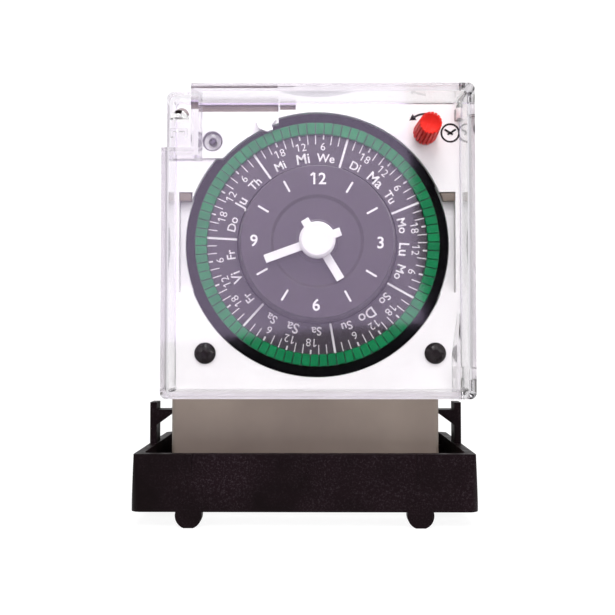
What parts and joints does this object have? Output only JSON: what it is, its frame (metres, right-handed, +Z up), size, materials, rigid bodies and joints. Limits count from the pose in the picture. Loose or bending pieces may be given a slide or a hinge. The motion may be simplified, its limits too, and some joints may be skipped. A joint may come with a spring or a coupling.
{
  "type": "programmable timer",
  "caption": "Weekly analogue time switch: clear hinged cover, week dial with captive tappets, hands and a red setting knob on a grey housing that stands in a black snap frame.",
  "frame": {"origin": "middle of the snap frame's footprint, on the surface it stands on", "axes": "+X to the right seen from the front, +Y from the face to the back, +Z up"},
  "size_m": [0.0808, 0.045, 0.1035],
  "materials": {
    "black_abs": "fine moulded grain, satin",
    "grey_abs": "smooth moulded, satin",
    "white_abs": "smooth moulded",
    "clear_pc": "clear moulded, polished",
    "dial_black": "moulded, printed in white",
    "green_pom": "moulded",
    "red_abs": "moulded, ribbed",
    "hand_white": "moulded",
    "black_screw": "blackened",
    "steel": "bright plated",
    "brass": "turned",
    "dark_plastic": "moulded",
    "lever_plastic": "moulded",
    "board": "solder masked laminate",
    "film": "dipped"
  },
  "bodies": {
    "frame": {"mounting_frame": "black_abs"},
    "head": {"rear_housing": "grey_abs", "back_cover": "grey_abs", "back_screws": "steel", "front_case": "white_abs", "case_screws": "steel", "face_plate": "white_abs", "plate_screws": "black_screw", "status_lens": "clear_pc", "hinge_pins": "steel", "centre_tube": "brass", "clock_disc": "dial_black", "movement_case": "dark_plastic", "movement_screws": "steel", "drive_motor": "steel", "circuit_board": "board", "backup_battery": "steel", "dropper_capacitor": "film", "microswitch": "dark_plastic", "lever_pin": "steel", "terminal_block": "dark_plastic", "terminal_clamps": "brass", "terminal_screws": "steel"},
    "cover": {"clear_cover": "clear_pc"},
    "dial": {"week_dial": "dial_black", "tappets_tuesday": "green_pom", "tappets_monday": "green_pom", "tappets_sunday": "green_pom", "tappets_saturday": "green_pom", "tappets_friday": "green_pom", "tappets_thursday": "green_pom", "tappets_wednesday": "green_pom"},
    "knob": {"set_knob": "red_abs", "knob_spindle": "steel"},
    "hour": {"hour_hand": "hand_white", "hour_pipe": "brass"},
    "minute": {"minute_hand": "hand_white", "minute_arbor": "steel", "hand_cap": "hand_white"},
    "lever": {"switch_lever": "lever_plastic"},
    "noon_tuesday": {"noon_tappet_tuesday": "green_pom"},
    "noon_monday": {"noon_tappet_monday": "green_pom"},
    "noon_sunday": {"noon_tappet_sunday": "green_pom"},
    "noon_saturday": {"noon_tappet_saturday": "green_pom"},
    "noon_friday": {"noon_tappet_friday": "green_pom"},
    "noon_thursday": {"noon_tappet_thursday": "green_pom"},
    "noon_wednesday": {"noon_tappet_wednesday": "green_pom"}
  },
  "joints": [
    {"name": "head_lift", "type": "slide", "parent": "frame", "child": "head", "axis": [0, 0, 1], "range_m": [0, 0.025]},
    {"name": "cover_hinge", "type": "hinge", "parent": "head", "child": "cover", "pos_m": [0.0386, -0.011, 0.0665], "axis": [0, 0, 1], "range_deg": [0, 100]},
    {"name": "dial_turn", "type": "hinge", "parent": "head", "child": "dial", "pos_m": [0.003, -0.006, 0.067], "axis": [0, 1, 0], "continuous": true},
    {"name": "knob_turn", "type": "hinge", "parent": "head", "child": "knob", "pos_m": [0.02991, -0.006, 0.09471], "axis": [0, 1, 0], "continuous": true},
    {"name": "hour_turn", "type": "hinge", "parent": "head", "child": "hour", "pos_m": [0.003, -0.016, 0.067], "axis": [0, 1, 0], "continuous": true},
    {"name": "minute_turn", "type": "hinge", "parent": "head", "child": "minute", "pos_m": [0.003, -0.018, 0.067], "axis": [0, 1, 0], "continuous": true},
    {"name": "lever_swing", "type": "hinge", "parent": "head", "child": "lever", "pos_m": [-0.02, -0.007, 0.098], "axis": [0, -1, 0], "range_deg": [0, 6]},
    {"name": "noon_tuesday_slide", "type": "slide", "parent": "dial", "child": "noon_tuesday", "axis": [0.6411, 0, 0.7675], "range_m": [0, 0.0012]},
    {"name": "noon_monday_slide", "type": "slide", "parent": "dial", "child": "noon_monday", "axis": [0.9997, 0, -0.0227], "range_m": [0, 0.0012]},
    {"name": "noon_sunday_slide", "type": "slide", "parent": "dial", "child": "noon_sunday", "axis": [0.6056, 0, -0.7958], "range_m": [0, 0.0012]},
    {"name": "noon_saturday_slide", "type": "slide", "parent": "dial", "child": "noon_saturday", "axis": [-0.2446, 0, -0.9696], "range_m": [0, 0.0012]},
    {"name": "noon_friday_slide", "type": "slide", "parent": "dial", "child": "noon_friday", "axis": [-0.9106, 0, -0.4133], "range_m": [0, 0.0012]},
    {"name": "noon_thursday_slide", "type": "slide", "parent": "dial", "child": "noon_thursday", "axis": [-0.8909, 0, 0.4542], "range_m": [0, 0.0012]},
    {"name": "noon_wednesday_slide", "type": "slide", "parent": "dial", "child": "noon_wednesday", "axis": [-0.2003, 0, 0.9797], "range_m": [0, 0.0012]}
  ],
  "couplings": [
    {"joint": "knob_turn", "follows": "dial_turn", "ratio": -5.8667},
    {"joint": "hour_turn", "follows": "dial_turn", "ratio": 14},
    {"joint": "minute_turn", "follows": "dial_turn", "ratio": 168}
  ]
}
